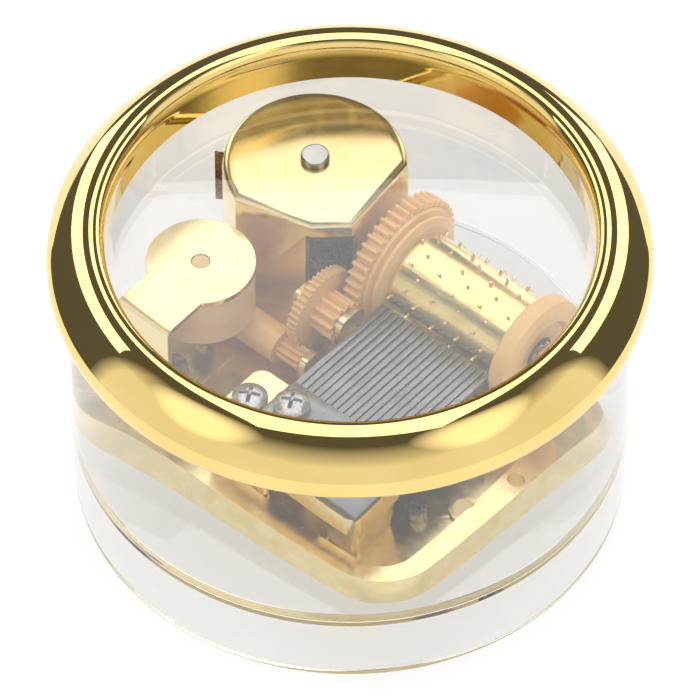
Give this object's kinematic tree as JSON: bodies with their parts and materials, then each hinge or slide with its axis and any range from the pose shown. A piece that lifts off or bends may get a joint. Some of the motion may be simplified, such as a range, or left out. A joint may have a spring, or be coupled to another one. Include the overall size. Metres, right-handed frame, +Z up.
{
  "type": "wind-up music box",
  "caption": "Round clear-cased wind-up music box: gold bead ring, hollow plinth with key, and a visible pinned-cylinder and comb movement on a gold bed plate.",
  "frame": {"origin": "centre of the underside of the round case", "axes": "+Z up out of the window; X to the right and Y to the back as the case is seen from the front; the movement inside is turned 40.8 degrees clockwise about Z"},
  "size_m": [0.072, 0.072, 0.0432],
  "materials": {
    "case_base": "clear moulded polystyrene",
    "clear_cover": "clear moulded polystyrene",
    "gold_ring": "vacuum-metallised gold on ABS",
    "steel_screw": "zinc-plated steel",
    "gold_casting": "gold-coloured plated zinc die-casting",
    "gold_can": "gold-coloured plated pressed steel",
    "spring_steel": "hardened spring steel strip",
    "arbor_steel": "turned steel",
    "key_steel": "nickel-plated steel",
    "drive_brass": "stamped brass",
    "collar_brass": "turned brass",
    "clutch_steel": "spring steel wire",
    "cylinder_gold": "gold-coloured plated brass tube",
    "pin_steel": "steel pins",
    "peach_gear": "peach acetal",
    "peach_cap": "peach acetal",
    "rod_steel": "turned steel",
    "peach_second": "peach acetal",
    "second_steel": "turned steel",
    "peach_third": "peach acetal",
    "third_steel": "turned steel",
    "governor_gold": "gold-coloured plated steel sheet",
    "peach_cup": "peach acetal",
    "governor_screw_steel": "zinc-plated steel",
    "worm_steel": "turned steel",
    "fan_nylon": "natural nylon",
    "bridge_casting": "gold-coloured plated zinc die-casting",
    "comb_steel": "ground hardened steel",
    "comb_screw_steel": "zinc-plated steel",
    "bridge_screw_steel": "zinc-plated steel"
  },
  "bodies": {
    "case": {"case_base": "case_base", "clear_cover": "clear_cover", "gold_ring": "gold_ring", "case_screws": "steel_screw", "bed_plate": "gold_casting", "spring_housing": "gold_can", "mainspring": "spring_steel", "governor_frame": "governor_gold", "governor_cup": "peach_cup", "governor_screw": "governor_screw_steel", "comb_bridge": "bridge_casting", "comb": "comb_steel", "comb_screws": "comb_screw_steel", "bridge_screw": "bridge_screw_steel"},
    "winding": {"winding_arbor": "arbor_steel", "winding_key": "key_steel", "clutch_collar": "collar_brass"},
    "drive": {"drive_wheel": "drive_brass", "clutch_spring": "clutch_steel"},
    "cylinder": {"cylinder_tube": "cylinder_gold", "cylinder_pins": "pin_steel", "cylinder_gear": "peach_gear", "cylinder_cap": "peach_cap", "cylinder_rod": "rod_steel"},
    "second": {"second_wheel": "peach_second", "second_arbor": "second_steel"},
    "third": {"third_wheel": "peach_third", "third_arbor": "third_steel"},
    "governor": {"worm": "worm_steel", "fan": "fan_nylon"}
  },
  "joints": [
    {"name": "cylinder_spin", "type": "hinge", "parent": "case", "child": "cylinder", "pos_m": [0.00902, 0.01045, 0.0205], "axis": [0.757, -0.6534, 0], "continuous": true},
    {"name": "winding_spin", "type": "hinge", "parent": "case", "child": "winding", "pos_m": [-0.0042, 0.01947, 0], "axis": [0, 0, 1], "continuous": true},
    {"name": "drive_spin", "type": "hinge", "parent": "case", "child": "drive", "pos_m": [-0.0042, 0.01947, 0], "axis": [0, 0, 1], "continuous": true},
    {"name": "second_spin", "type": "hinge", "parent": "case", "child": "second", "pos_m": [0.00169, 0.00195, 0.02], "axis": [0.757, -0.6534, 0], "continuous": true},
    {"name": "third_spin", "type": "hinge", "parent": "case", "child": "third", "pos_m": [-0.00163, -0.00189, 0.0159], "axis": [0.757, -0.6534, 0], "continuous": true},
    {"name": "governor_spin", "type": "hinge", "parent": "case", "child": "governor", "pos_m": [-0.01787, 0.00684, 0], "axis": [0, 0, 1], "continuous": true}
  ],
  "couplings": [
    {"joint": "drive_spin", "follows": "cylinder_spin", "ratio": 0.81481},
    {"joint": "second_spin", "follows": "cylinder_spin", "ratio": -3.6667},
    {"joint": "third_spin", "follows": "cylinder_spin", "ratio": 15.4},
    {"joint": "governor_spin", "follows": "cylinder_spin", "ratio": 277.2}
  ]
}
